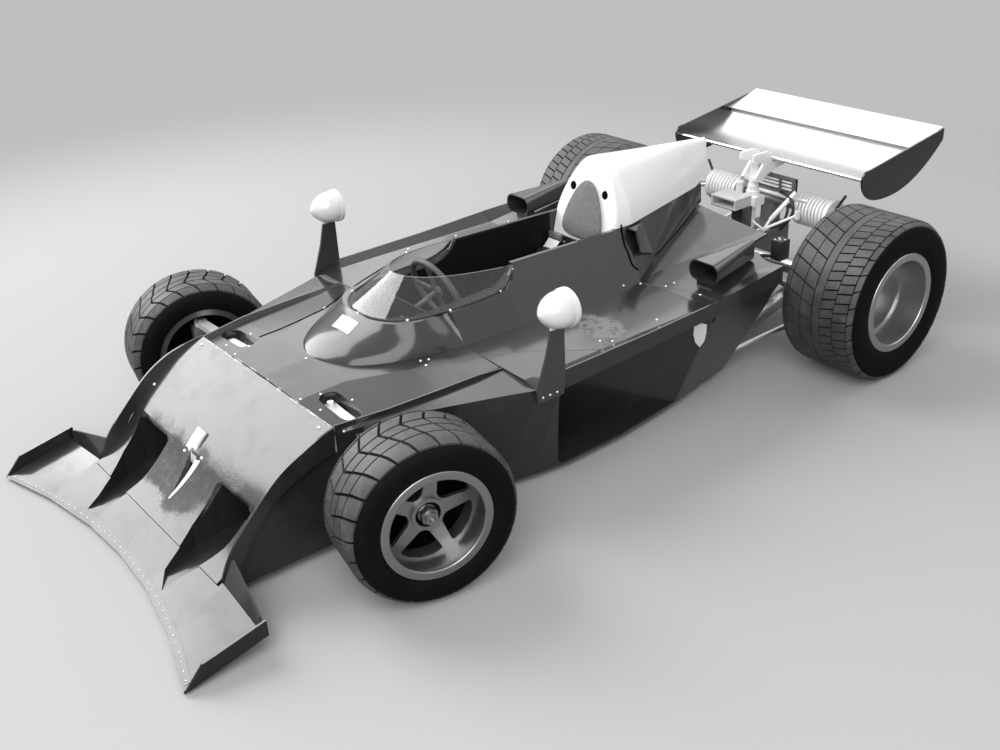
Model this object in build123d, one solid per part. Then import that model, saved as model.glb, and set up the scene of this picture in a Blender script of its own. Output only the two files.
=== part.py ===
from build123d import *
from math import cos, radians, sin
import os

# Quarter-scale model of a 1972 open wheel racing car with a full width wedge nose.
# Millimetres. Working frame: Y = 0 at the front axle, +Y towards the tail, +X the car's
# own left, Z = 0 on the ground. Every piece is shifted at export so that the row's origin
# lies on the ground in the middle of the car's length.

noseTipY = -216.5
tailY = 796.5
middleY = (noseTipY + tailY) / 2

wheelBase = 581.4
frontTrack = 408.7
rearTrack = 401.3

# outer radius, half width, rim seat radius, rim flange radius, rim half width
frontTyre = dict(r=73.7, half=35.0, seat=45.0, flange=48.4, rim=28.5)
rearTyre = dict(r=87.2, half=46.0, seat=49.5, flange=54.0, rim=40.5)

restSteer = -11.5          # the wheels stand turned to the car's right, as in the photograph
kingpinX = 188.3
kingpinR = 3.0
armLength = 24.0           # kingpin to the eye of the steering arm
armRise = 12.0             # eye above the axle
eyeR = 3.2
pinIn = frontTrack / 2 - kingpinX
rodY = armLength * cos(radians(restSteer))
rodShift = -armLength * sin(radians(restSteer))
rodZ = frontTyre["r"] + armRise - 5.2
runningGap = 0.05
stubR = 5.0
hubR = 11.0
rearShaftR = 8.0

floorZ = 8.0
sheet = 2.0
gap = 0.3                  # between panels that stand edge to edge

wingHalf = 197.0
wingRearY = -146.0
wingSweep = 33.0           # how much further back the leading edge lies in the middle
wingLeadZ = 4.0

noseHalf = 119.0           # side walls of the nose
shelfHalf = 124.0          # its top panel, out to the fences
jointY = -28.0             # nose panel against the monocoque
sideY = 137.0              # side bodies begin
splitY = 364.0             # rear deck panels begin
coverY = 370.0             # the cockpit walls end and the engine cover begins
coverEndY = 541.0          # tail of the airbox
coverTailY = 531.0         # tail of the engine cover under it
deckEndY = 477.0

innerHalf = 84.0           # monocoque beside the cockpit
deckZ = 126.0
cockpitHalf = 43.0
cockpitRearY = 352.0
cockpitFloorZ = 20.0

parts = {}


def polygonX(points, x):
    """A face in the plane X = x from (y, z) points."""
    return make_face(Polyline(*[(x, y, z) for y, z in points], close=True))


def polygonY(points, y):
    """A face in the plane Y = y from (x, z) points."""
    return make_face(Polyline(*[(x, y, z) for x, z in points], close=True))


def polygonZ(points, z):
    """A face in the plane Z = z from (x, y) points."""
    return make_face(Polyline(*[(x, y, z) for x, y in points], close=True))


def mirrored(points):
    """Half a symmetric section, bottom to top, closed over the middle plane."""
    return points + [(-x, z) for x, z in reversed(points) if x]


def slab(points, z0, z1):
    """A straight prism on a plan outline of (x, y) points."""
    return extrude(polygonZ(points, z0), z1 - z0, dir=(0, 0, 1))


def sideProfile(points, x0, x1):
    """A straight prism across the car on a side outline of (y, z) points."""
    return extrude(polygonX(points, x0), x1 - x0, dir=(1, 0, 0))


def block(x0, x1, y0, y1, z0, z1):
    centre = ((x0 + x1) / 2, (y0 + y1) / 2, (z0 + z1) / 2)
    return Pos(*centre) * Box(x1 - x0, y1 - y0, z1 - z0)


def ruled(faces):
    return loft(faces, ruled=True)


def rod(a, b, r, r2=None):
    """A round bar from a to b, tapered where a second radius is given."""
    start = Vector(*a)
    along = Vector(*b) - start
    plane = Plane(origin=start, z_dir=along)
    stand = (Align.CENTER, Align.CENTER, Align.MIN)
    if r2 is None:
        return plane * Cylinder(r, along.length, align=stand)
    return plane * Cone(r, r2, along.length, align=stand)


def across(x0, x1, y, z, r):
    """A round bar along X."""
    return rod((x0, y, z), (x1, y, z), r)


def flip(shape):
    return mirror(shape, about=Plane.YZ)


def both(name, shape):
    parts[name + "_left"] = shape
    parts[name + "_right"] = flip(shape)


def pair(name, shape):
    """Two like pieces, one on each side, that share a node."""
    parts[name] = Compound(children=[shape, flip(shape)])


# Front wing, its endplates and the nose panel with two sunk ducts

troughPlan = [(62, -168), (80, -180), (84, -166), (103, -130), (108.3, -103), (48.5, -103), (50, -134)]
troughFloor = [(-182.0, 8.3), (-103.0, 19.0)]
tunnelSide = [(-110, 18.5), (-110, 67), (-52, 58), (-52, 22)]


def trough():
    """The sunk duct on the left: a ramp down from the wing plate into a tunnel under the nose panel."""
    (y0, z0), (y1, z1) = troughFloor
    prism = slab(troughPlan, 0, 160)
    prism = fillet(prism.edges().filter_by(Axis.Z).sort_by(Axis.Y)[-2:], 7)
    prism &= sideProfile([(y0, z0), (y1, z1), (y1, 160), (y0, 160)], 40, 115)
    return prism + sideProfile(tunnelSide, 48.5, 108.3)


def leadY(x):
    return noseTipY + wingSweep * (1 - (x / wingHalf) ** 2)


def wingPlate():
    faces = []
    # station x along the span, height of the plate's rear edge there
    for x, rearZ in ((-197, 20), (-130, 26), (-60, 27), (0, 27), (60, 27), (130, 26), (197, 20)):
        y = leadY(x)
        faces.append(polygonX([(y, wingLeadZ), (wingRearY, rearZ), (wingRearY, rearZ - 2.5),
                               (y + 2, wingLeadZ - 1.5)], x))
    return ruled(faces)


def upstand():
    """Plate that stands up from the wing's rear edge beside the nose, leaning back."""
    inner = [(-147.2, 24), (-145.2, 24), (-134.3, 45), (-136.3, 45)]
    outer = [(-149.2, 17), (-147.2, 17), (-145.4, 31.5), (-147.4, 31.5)]
    return ruled([polygonX(inner, 129), polygonX(outer, 191)])


def ductTray():
    """Sheet floor and sides of the duct where it runs under the wing plate."""
    grown = [(58, -171), (80, -184), (89, -168), (108, -130), (45, -130)]
    return slab(grown, 0, 60) & sideProfile([(-181, 6.4), (-146, 11.2), (-146, 24), (-181, 7.6)], 40, 115)


leftTrough = trough()
frontWing = wingPlate()
frontWing -= block(-shelfHalf - 2, shelfHalf + 2, -150, -140, 0, 60)
for piece in (ductTray(), upstand()):
    frontWing += piece
    frontWing += flip(piece)
frontWing -= block(-noseHalf, noseHalf, -150, -140, 0, 60)
parts["front_wing"] = frontWing - leftTrough - flip(leftTrough)

pair("front_endplates", sideProfile([(noseTipY, 2.6), (-145.0, 18.5), (-145.4, 32.6), (-199.5, 21.0)],
                                    wingHalf, wingHalf + sheet))


fenceTop = [(-146, 27), (-137, 46), (-107, 80), (-86, 99), (-60, 112.5), (jointY, 121)]
fenceFoot = [(jointY, 98), (-70, 89.5), (-98.5, 72.5), (-117, 51.5), (-131, 22)]


def noseFace(x, foot):
    """Side outline of the nose in the plane X = x: two arcs over the (y, z) points of its foot."""
    low = ThreePointArc((x, -150, 26), (x, -123.5, 45.9), (x, -102, 71))
    high = ThreePointArc((x, -102, 71), (x, -68.2, 100.5), (x, jointY, 120.3))
    ends = Polyline(*[(x, y, z) for y, z in [(jointY, 120.3)] + foot + [(-150, 26)]])
    return make_face([low, high, ends])


def nose():
    body = extrude(noseFace(-noseHalf, [(jointY, 10), (-150, 10)]), 2 * noseHalf, dir=(1, 0, 0))
    under = [(jointY, 114), (-57, 101), (-92, 76), (-103, 63), (-131, 33), (-149, 21)]
    shelf = extrude(noseFace(-shelfHalf, under), 2 * shelfHalf, dir=(1, 0, 0))
    shelf &= slab(mirrored([(shelfHalf, -150), (shelfHalf, -62), (119.5, jointY)]), 0, 200)
    upper = Spline(*[(110, y, z) for y, z in fenceTop])
    lower = Spline(*[(110, y, z) for y, z in fenceFoot])
    fence = extrude(make_face([upper, lower, Line(upper @ 1, lower @ 0), Line(lower @ 1, upper @ 0)]), 20, dir=(1, 0, 0))
    fence &= slab([(shelfHalf, -147), (126, -147), (126, -62), (121.5, jointY), (119.5, jointY), (shelfHalf, -62)], 0, 200)
    body = body + shelf + fence + flip(fence)
    # flush inlet in the middle, a wedge that deepens rearwards
    inlet = slab([(0, -132), (9, -101), (-9, -101)], 0, 200)
    inlet &= sideProfile([(-132, 38), (-101, 58), (-101, 90), (-132, 60)], -10, 10)
    return body - inlet - leftTrough - flip(leftTrough)


parts["nose_panel"] = nose()

# Monocoque, from the nose joint to the engine

rackHole = across(-190, 190, rodY, rodZ, 7)


def tub():
    faces = []
    # station, bottom, shoulder x z, lip x, its foot z and top z, deck z inside it, crown edge x z, crown z
    for y, xb, xs, zs, xl, zf, zl, zd, xc, zc, zm in (
            (jointY + gap, 119, 119.6, 113, 119.2, 116, 121, 117.5, 60, 121, 122),
            (20, 126, 136.5, 118.5, 129, 119.5, 123.5, 119, 62, 124, 125),
            (75, 132.5, 157, 119, 132.3, 120.5, 124.5, 121, 84, 125, 126.5),
            (110, 137, 170, 119, 134, 121.3, 125, 122.5, 84, 126, 127),
            (sideY, 141, 181, 119, 136, 122.6, 124, 123.6, 84, 126, 127)):
        half = [(xb, floorZ), (xs, zs), (xl, zf), (xl, zl), (xl - 1.5, zl), (xl - 4, zd), (xc, zc), (0, zm)]
        faces.append(polygonY(mirrored(half), y))
    return ruled(faces)


def cockpitHollow():
    """Footwell under the deck, cockpit with a rounded front, and the bed of the airbox behind it."""
    well = block(-cockpitHalf, cockpitHalf, -10, cockpitRearY, cockpitFloorZ, 110)
    well += slab(mirrored([(cockpitHalf, cockpitRearY), (cockpitHalf, 108), (29, 91), (12, 84)]), 110, 230)
    return well + block(-cockpitHalf, cockpitHalf, cockpitRearY, coverY + 1, 150, 230)


def rockerSlot():
    """Long slot in the deck over the left front rocker, and the arm's way out through the side."""
    slot = Pos(91.5, -4, 96) * extrude(SlotOverall(51, 19), 50)
    return slot + block(80, 150, -11, 11, 96, 110)


hollow = cockpitHollow()
tubSolid = tub() + block(-innerHalf, innerHalf, sideY, splitY, floorZ, deckZ)
monocoque = tubSolid + block(-70, 70, splitY, 440, floorZ, 118)
for cut in (hollow, rackHole, rockerSlot(), flip(rockerSlot())):
    monocoque -= cut
parts["monocoque"] = monocoque

# Hump in front of the cockpit, cockpit walls and windscreen

# where the screen sits on the hump and the walls, as (y, z) seen from the side
trimLine = [(66, 165), (76, 151.3), (97.5, 152), (138, 153), (197, 155.2), (205, 157.5), (210, 160.5), (217.5, 166),
            (222, 172.5)]

# hump in front of the cockpit: station, foot half width and z, top z, share of the walls' section
humpRows = ((22.5, 8, 124, 125.4, 0), (26, 20, 124, 128, 0), (33, 33.5, 124, 132.5, 0), (48, 49, 124.3, 140.5, 0),
            (66, 60, 124.8, 147.6, 0), (86.5, 69, 125.2, 158.5, 0.15), (110, 75, 125.6, 168, 0.5), (138, 80, 126, 171, 1))

# cockpit walls: station, foot half width, edge half width and z, top z
wallRows = ((138, 80, 47, 172, 174), (205, 83.5, 47, 175.5, 176), (coverY, 76, 47, 172.5, 173))


def humpFace(y, half, foot, top, share):
    """Section of the hump, rounded in front and like the walls behind, with a skirt into the deck."""
    over = []
    for u in (1, 0.93, 0.75, 0.5875, 0.3, 0, -0.3, -0.5875, -0.75, -0.93, -1):
        rounded = foot + (top - foot) * (1 - u * u) ** 0.62
        wall = foot + 46 * min(1, (1 - abs(u)) / 0.4125) + 2 * max(0, 1 - (u / 0.5875) ** 2)
        over.append((half * u, y, rounded + share * (wall - rounded)))
    skirt = Polyline((-half, y, foot), (-half, y, 116), (half, y, 116), (half, y, foot))
    return make_face([Spline(*over), skirt])


def wallFace(y, half, edge, edgeZ, top):
    foot = Polyline((-edge, y, edgeZ), (-half, y, deckZ), (half, y, deckZ), (edge, y, edgeZ))
    return make_face([foot, ThreePointArc((edge, y, edgeZ), (0, y, top), (-edge, y, edgeZ))])


def surround():
    walls = ruled([wallFace(*row) for row in wallRows]) + loft([humpFace(*row) for row in humpRows])
    above = sideProfile(trimLine + [(222, 240), (66, 240)], -90, 90)
    return walls - above - hollow - tubSolid


# the screen's foot and its open top: (x, y) of one half, from the middle to the rear
screenFoot = [(0, 74.3), (18, 76.6), (35, 84.2), (48, 98), (55, 115), (59.3, 140), (61.8, 172), (61, 205), (58, 236)]
screenHead = [(0, 117.5), (13, 121), (22, 128), (30, 140), (35, 153), (39.8, 171), (43, 190), (45.2, 212), (46, 236)]


def screenRim(points, z, inset):
    """Plan outline of the screen at height z, a smooth curve round the front, moved in by inset."""
    half = [(x * (1 - inset / 60), y + inset, z) for x, y in points]
    whole = [(-x, y, z) for x, y, z in reversed(half[1:])] + half
    return make_face([Spline(*whole), Line(whole[-1], whole[0])])


def windscreen():
    outer = ruled([screenRim(screenFoot, 150, 0), screenRim(screenHead, 180.3, 0)])
    inner = ruled([screenRim(screenFoot, 150, 1.2), screenRim(screenHead, 180.3, 1.2)])
    shown = sideProfile(trimLine + [(222, 173.3), (180, 176), (150, 177.9), (117, 180.3), (66, 182)], -80, 80)
    return (outer - inner) & shown


parts["cockpit_surround"] = surround()
parts["windscreen"] = windscreen()

# Side bodies with the long duct recess


def sideRecess():
    cut = ruled([polygonY([(75, 11), (200, 11), (200, 110), (119, 110)], 150),
                 polygonY([(141.5, 11), (200, 11), (200, 120), (184, 120)], 366)])
    mouth = sideProfile([(188, 11), (160, 122), (370, 122), (370, 11)], 90, 200)
    corner = mouth.edges().filter_by(Axis.X).sort_by(Axis.Y)
    mouth = fillet(corner[0], 15)
    mouth = fillet(mouth.edges().filter_by(Axis.X).group_by(Axis.Z)[0].sort_by(Axis.Y)[0], 8)
    return cut & mouth


def sideBody():
    faces = []
    # station, bottom half width, edge band x and z, lip z, deck z inside the lip
    for y, xb, xs, zb, zl, zd in ((sideY, 141, 181, 117, 119.2, 123.8), (163, 146, 184, 111, 129.4, 124.5),
                                  (200, 151, 184, 112.5, 130, 125), (274, 149, 184, 116, 131.5, 125.5),
                                  (splitY, 137, 184, 120.5, 135, 126)):
        faces.append(polygonY([(innerHalf, floorZ), (xb, floorZ), (xs - 1.6, zb - 0.8), (xs, zb), (xs, zl),
                               (xs - 1.5, zl), (xs - 15, zd), (innerHalf, deckZ)], y))
    return ruled(faces) - sideRecess()


both("side_body", sideBody())


def rearDeck():
    faces = []
    # station, bottom half width, side x, band z, lip z, crease x and z, inner end x and z
    for y, xb, xs, zBand, zLip, xi, zi, xe, ze in ((splitY + gap, 137, 184, 120.5, 135, 76, 126, 56, 126.5),
                                                   (deckEndY + 38, 106, 173, 124, 143, 108, 148, 14, 157)):
        outer = [(xb, floorZ), (xs - 1.6, zBand), (xs, zBand), (xs, zLip), (xs - 15, zi), (xi, zi), (xe, ze)]
        inner = [(xe, ze - sheet), (xi, zi - sheet), (xs - 16, zi - 2.5), (xs - 4, zLip - 5), (xs - 5, zBand),
                 (xb - 2.5, floorZ)]
        faces.append(polygonY(outer + inner, y))
    body = ruled(faces) - Pos(162, 497, 140) * Cylinder(30, 80)
    tailCut = sideProfile([(deckEndY, 250), (deckEndY, 118), (455, 0), (600, 0), (600, 250)], 118, 250)
    sideCut = sideProfile([(474, 118), (455, 0), (600, 0), (600, 118)], 60, 250)
    return body - tailCut - sideCut


# Airbox, engine cover with its side scoops, head pad


airboxRound = 5.0


def leanGap(p):
    """How far a point stands off the airbox's sloping face."""
    return (p.Y - 351.7) - (p.Z - 140) * 23.6 / 103


airboxFront = [(46, 173.1), (44, 184), (39.5, 197), (31.5, 212.5), (22, 226.5), (12, 234.8), (0, 237.2)]
airboxBack = [(7.6, 176.3), (7.4, 185), (6.9, 196), (6, 208), (4.8, 217), (2.8, 222.6), (0, 224.5)]


def airboxFace(y, half):
    """Section of the airbox with bulged sides and a rounded top, from (x, z) points of one half."""
    whole = [(x, y, z) for x, z in half] + [(-x, y, z) for x, z in reversed(half[:-1])]
    return make_face([Spline(*whole), Line(whole[-1], whole[0])])


def airbox():
    front = airboxFace(384, airboxFront)
    body = ruled([front, airboxFace(coverEndY, airboxBack)])
    body += extrude(front, 40, dir=(0, -1, 0))
    body -= sideProfile([(330, 140), (351.7, 140), (375.3, 243), (330, 243)], -60, 60)
    body -= sideProfile([(545, 232), (541, 224), (537.5, 207), (533.5, 192), (527.5, 181.5), (517, 176.4), (500, 174.2),
                         (500, 165), (560, 165), (560, 232)], -20, 20)
    body = fillet([e for e in body.edges() if e.center().Z > 176 and abs(leanGap(e.center())) < 0.5], airboxRound)
    body += block(-42.7, 42.7, cockpitRearY, coverY + gap, 150, 174) - sideProfile([(330, 140), (351.7, 140), (359.5, 174), (330, 174)], -60, 60)
    for x in (-24, 24):
        body -= rod((x, 360, 203), (x, 376, 203), 4.5)
    return body


def engineCover():
    front = [(-76, deckZ), (-47, 172.5), (47, 172.5), (76, deckZ)]
    back = [(-9, 154), (-7.5, 175.5), (7.5, 175.5), (9, 154)]
    cover = ruled([polygonY(front, coverY + gap), polygonY(back, coverTailY)])
    mouth, tail = 376, 403
    scoop = ruled([polygonY([(44, 171.5), (61, 171.5), (68, 150), (57, 143)], mouth),
                   polygonY([(38, 171), (40.4, 171), (59.5, 140), (56, 140)], tail)])
    inside = ruled([polygonY([(46, 170), (59.8, 170), (66.2, 150.3), (58, 145)], mouth - 1),
                    polygonY([(38, 168), (39, 168), (56.5, 142), (55, 142)], tail - 3)])
    for piece in (scoop, flip(scoop)):
        cover += piece
    for piece in (inside, flip(inside)):
        cover -= piece
    return cover


parts["airbox"] = airbox()
parts["engine_cover"] = engineCover()
both("rear_deck", rearDeck() - parts["cockpit_surround"] - parts["engine_cover"])


def headPad():
    """Rounded triangle that lies on the airbox's sloping face."""
    lean = Plane(origin=(0, 353.9, 152), x_dir=(1, 0, 0), z_dir=(0, -103, 23.6))
    half = [(0, 64.5), (9, 62), (19.5, 49), (28, 30), (31.5, 13), (28.5, 3), (16, -0.6), (0, -1)]
    around = [(x, y, 0) for x, y in half] + [(-x, y, 0) for x, y in reversed(half[1:-1])]
    return lean * extrude(make_face(Spline(*around, periodic=True)), 3.5)


parts["head_pad"] = headPad()

# Seat, dash and steering wheel

wheelCentre = (0, 166, 147)
column = Vector(0, 0.94, 0.34)
columnPlane = Plane(origin=wheelCentre, z_dir=column)


def seat():
    shell = sideProfile([(200, 20), (200, 38), (290, 46), (326, 138), (343, 138), (343, 20)], -38, 38)
    return shell - sideProfile([(190, 25), (306, 25), (334.5, 139), (300, 200), (190, 200)], -33, 33)


def dash():
    panel = block(-cockpitHalf, cockpitHalf, 124, 127, 116, 150)
    for x in (-20, 20):
        panel += rod((x, 127, 138), (x, 131, 138), 9)
    return panel - columnPlane * Cylinder(3.2, 200)


spokes = Box(68, 5, 2.4) + Pos(0, -17.5, 0) * Box(5, 33, 2.4)
parts["seat"] = seat()
parts["dash"] = dash()
parts["steering_wheel"] = columnPlane * (Torus(35, 3) + Cylinder(7, 4) + spokes + Pos(0, 0, -25) * Cylinder(2.5, 50))

# Engine and gearbox, with the cross plate that carries the springs

parts["engine"] = block(-62, 62, 440, 560, 22, 98)


springZ = 122.0            # cross tube and coil springs


def gearbox():
    """Narrow rounded case with output flanges, and the cross tube of the springs on a small pedestal."""
    case = block(-20, 20, 560, 682, 40, 96)
    case = fillet(case.edges().filter_by(Axis.Y), 6)
    case = fillet(case.edges().group_by(Axis.Y)[-1], 3)
    case += across(-40, 40, wheelBase, rearTyre["r"], 12)
    case += slab([(-9, 660), (9, 660), (7, 678), (-7, 678)], 92, 120)
    return case + across(-45, 45, 669, springZ, 5)


parts["gearbox"] = gearbox()

# Wheels


def tyre(d):
    rim, half, r = d["rim"], d["half"], d["r"]
    shoulder = half - 3.5
    bulge = (half, 0, d["flange"] + 12)
    side = [(rim, 0, d["flange"]), (half - 2, 0, d["flange"] + 4), bulge, (shoulder, 0, r - 3.5), (half - 9, 0, r)]
    other = [(-x, y, z) for x, y, z in reversed(side)]
    return revolve(make_face(Polyline((-rim, 0, d["seat"]), (rim, 0, d["seat"]), *side, *other, close=True)), Axis.X)


def ring(x0, x1, r0, r1):
    return across(x0, x1, 0, 0, r1) - across(x0 - 1, x1 + 1, 0, 0, r0)


def barrel(d, lipR, lipDepth):
    """Wheel rim: the tyre's seat, an inner flange and a wide rolled lip on the outer side."""
    rim, seat, flange = d["rim"], d["seat"], d["flange"]
    wall = ring(-rim, rim, seat - 2.5, seat) + ring(-rim - 2, -rim, seat - 2.5, flange)
    lip = ring(rim - 2, rim + lipDepth, lipR, seat) + ring(rim, rim + lipDepth, lipR, flange)
    edge = [e for e in lip.edges() if abs(e.center().X - rim - lipDepth) < 0.01]
    return wall + fillet(edge, 1.4)


spokeTurn = 15.3           # where the spokes stand in the photograph


def frontRim():
    """Five flat spokes in a deep barrel, with a sunk hub and the centre nut."""
    rim = barrel(frontTyre, 40.6, 4.5)
    disc = ring(6, 10, 0.1, frontTyre["seat"] - 2)
    half = [(0, 41), (10.5, 39.4), (19.3, 34.6), (4.4, 17), (0, 15.6)]
    window = extrude(polygonX(half + [(-y, z) for y, z in reversed(half[1:-1])], 0), 30, dir=(1, 0, 0))
    window = fillet(window.edges().filter_by(Axis.X).sort_by(Axis.Z)[1:5], 2.5)
    for i in range(5):
        disc -= window.rotate(Axis.X, 72 * i + 36 + spokeTurn)
    hub = across(-6, 10, 0, 0, 13) + ring(9, 13, 11, 14) + hexNut(9, 17, 7.6) + across(16, 21, 0, 0, 5.2)
    return rim + disc + hub - across(-20, 9, 0, 0, stubR + runningGap) - across(18, 22, 0, 0, 3)


def hexNut(x0, x1, r):
    return Pos(x0, 0, 0) * extrude(Plane.YZ * RegularPolygon(r, 6), x1 - x0)


def rearRim():
    """A deep stepped bowl, with the centre nut."""
    seat = rearTyre["seat"]
    bowl = ring(-14, -10, 0.1, seat - 2) + ring(-14, 12, seat - 6, seat - 2)
    hub = across(-20, -4, 0, 0, 13) + hexNut(-5, 4, 9) + across(3, 8, 0, 0, 5)
    return barrel(rearTyre, seat - 4, 3.5) + bowl + hub - across(-30, 0, 0, 0, rearShaftR)


def knuckle():
    """Stub axle, upright plate, kingpin and steering arm, about the wheel's centre."""
    body = across(-21, 8.5, 0, 0, stubR) + block(-21, -8, -9, 9, -26, 26)
    body += rod((-pinIn, 0, -33.7), (-pinIn, 0, 33.7), kingpinR)
    body += block(-pinIn - 5, -pinIn + 5, 6, armLength + 6, armRise - 2, armRise + 2)
    return body - Pos(-pinIn, armLength, armRise) * Cylinder(eyeR, 12)


def place(shape, side, x, y, z):
    if side < 0:
        shape = flip(shape)
    return Pos(side * x, y, z) * shape


def steered(shape, side):
    return shape.rotate(Axis((side * kingpinX, 0, 0), (0, 0, 1)), restSteer)


for name, side in (("left", 1), ("right", -1)):
    for piece, shape in (("front_tyre_", tyre(frontTyre)), ("front_rim_", frontRim()), ("knuckle_", knuckle())):
        parts[piece + name] = steered(place(shape, side, frontTrack / 2, 0, frontTyre["r"]), side)
    shaft = across(42 - rearTrack / 2, -4, 0, 0, rearShaftR)
    for piece, shape in (("rear_tyre_", tyre(rearTyre)), ("rear_rim_", rearRim() - shaft), ("half_shaft_", shaft)):
        parts[piece + name] = place(shape, side, rearTrack / 2, wheelBase, rearTyre["r"])

# Front arms and steering rack


def upperArm():
    """Arm from the kingpin to a white rocker that shows in the deck's slot."""
    inner = [(-6, 100), (6, 100), (6, 108), (-6, 108)]
    outer = [(-5, 100.5), (5, 100.5), (5, 105.5), (-5, 105.5)]
    arm = ruled([polygonX(inner, 82), polygonX(outer, kingpinX)])
    arm += slab([(72, -9.5), (112, -6), (112, 0), (72, 3.5)], 105, 112)
    arm += Pos(73, -3, 106.5) * Cylinder(6.5, 11)
    arm += Pos(73, -3, 114) * Cylinder(3, 5)
    arm += Pos(kingpinX, 0, 103) * Cylinder(6.5, 5)
    return arm - Pos(kingpinX, 0, 103) * Cylinder(kingpinR + runningGap, 20)


def lowerArm():
    arm = slab([(110, -44), (kingpinX, -5), (kingpinX, 5), (110, 34), (110, 20), (158, 0), (110, -30)], 41.5, 46.5)
    arm += Pos(kingpinX, 0, 44) * Cylinder(6.5, 5)
    return arm - Pos(kingpinX, 0, 44) * Cylinder(kingpinR + runningGap, 20) - monocoque - parts["nose_panel"]


pair("upper_arms", upperArm())
pair("lower_arms", lowerArm())

rack = across(rodShift - kingpinX, rodShift + kingpinX, rodY, rodZ, 2)
for side in (-1, 1):
    x = rodShift + side * kingpinX
    rack += rod((x, rodY, rodZ - 2), (x, rodY, rodZ + 8), 1.5)
rack += across(-60, 60, rodY, rodZ, 4)
parts["steering_rack"] = rack

# Rear wing

wingX = 138.0


def endplate():
    curve = [(644.5, 182), (649, 167), (661, 156.5), (682, 151.6), (705, 151.6), (730, 156.3), (752, 165.3), (776, 180.3), (796.5, 197.6)]
    low = Spline(*[(wingX, y, z) for y, z in curve])
    top = Polyline((wingX, 796.5, 197.6), (wingX, 796.1, 210.6), (wingX, 657, 190.4))
    return extrude(make_face([low, top, ThreePointArc((wingX, 657, 190.4), (wingX, 648, 188), (wingX, 644.5, 182))]), sheet, dir=(1, 0, 0))


def wingSection():
    """Cambered plate, flat in front and curling up at the back."""
    upper = Spline(*[(-wingX, y, z) for y, z in ((652, 181), (676, 179.4), (700, 180.6), (724, 186), (747, 196))])
    lower = Spline(*[(-wingX, y, z) for y, z in ((747, 193.5), (724, 183), (700, 177), (676, 175.6), (652, 177))])
    nose = ThreePointArc((-wingX, 652, 177), (-wingX, 650, 179), (-wingX, 652, 181))
    return make_face([upper, Line(upper @ 1, lower @ 0), lower, nose])


def wingPost():
    """Stepped post on a base block, with two hooked brackets under the wing."""
    post = rod((0, 632, 96), (0, 632, 176), 4.5) + block(-11, 11, 623, 641, 125, 136)
    for z, r in ((142, 8), (149, 6.6), (155, 5.6)):
        post += rod((0, 632, 130), (0, 632, z), r)
    post += block(-11, 11, 627, 637, 155, 159)
    hook = [(622, 160), (630, 154), (646, 162), (690, 172), (690, 175.2), (649.5, 175.2), (649.5, 186), (640, 189),
            (617, 189), (617, 181), (636, 176)]
    return post + sideProfile(hook, 8, 11) + sideProfile(hook, -11, -8)


parts["rear_wing"] = extrude(wingSection(), 2 * wingX, dir=(1, 0, 0))
parts["rear_flap"] = sideProfile([(742, 197.5), (796, 212), (796, 210), (742, 197)], -wingX, wingX)
parts["wing_post"] = wingPost()
pair("rear_endplates", endplate())

# Mirrors


def mirrorPod():
    x, z = 185.0, 189.0
    shell = [ThreePointArc((x, 138.5, z), (x, 149, z + 12.6), (x, 167.5, z + 16)),
             Polyline((x, 167.5, z + 16), (x, 167.5, z + 17.5), (x, 171, z + 17.5), (x, 171, z + 15.5),
                      (x, 169, z + 15.5), (x, 169, z), (x, 138.5, z))]
    pod = revolve(make_face(shell), Axis((x, 0, z), (0, 1, 0)))
    stalk = sideProfile([(135, 108), (165, 108), (167, 123), (166, 175), (152, 175), (146, 150), (135, 119)], x - 1.4, x + 1)
    stalk += sideProfile([(137, 108.5), (160, 108.5), (160, 118), (137, 118)], x - 6, x - 1)
    return pod + stalk - parts["side_body_left"] - monocoque


pair("mirrors", mirrorPod())

# Scoops on the rear deck


def scoopFace(y, x, z, wide, tall, r):
    return Plane.XZ.offset(-y) * Pos(x, z) * RectangleRounded(wide, tall, r)


def ovalScoop():
    outer = loft([scoopFace(386.5, 144.2, 147.6, 38, 21, 9.5), scoopFace(460, 142, 151.5, 9, 21, 4)])
    inner = loft([scoopFace(386.5, 144.2, 147.6, 35, 18, 8.2), scoopFace(456, 142, 151.5, 6.5, 18, 3)])
    foot = block(132, 151, 391, 402, 128.5, 140)
    return outer + foot - inner - parts["rear_deck_left"]


pair("oval_scoops", ovalScoop())

# Springs, cooler, box scoop, pipes and links at the tail


def spring():
    """Damper with the turns of its coil as a row of rings."""
    coil = across(45, 92, 669, springZ, 8)
    for i in range(9):
        coil += across(47 + 4.9 * i, 49.8 + 4.9 * i, 669, springZ, 19.5)
    return coil


def exhaust():
    knee, end = (90, 500, 24), (86, 700, 68)
    pipe = rod((60, 478, 34), knee, 9) + Pos(*knee) * Sphere(9) + rod(knee, end, 9)
    return pipe - rod((87.5, 625, 51.5), (85.92, 704, 68.88), 7.5) - parts["engine"]


upright = block(-52, -24, -14, 14, -38, 38) - across(-60, 0, 0, 0, rearShaftR + runningGap)
upright = Pos(rearTrack / 2, wheelBase, rearTyre["r"]) * upright
pair("rear_uprights", upright)
pair("rear_springs", spring())
pair("exhausts", exhaust())

# lower link, radius rod and rocker rod on each side
links = []
for a, b, r in (((16, 600, 66), (152, 584, 54), 4), ((115, 447, 22), (153, 592, 54), 3), ((90, 669, 122), (156, 590, 116), 3.5)):
    bar = rod(a, b, r) - upright - parts["gearbox"] - parts["rear_deck_left"] - parts["rear_springs"].children[0]
    links += [bar, flip(bar)]
parts["rear_links"] = Compound(children=links)

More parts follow.
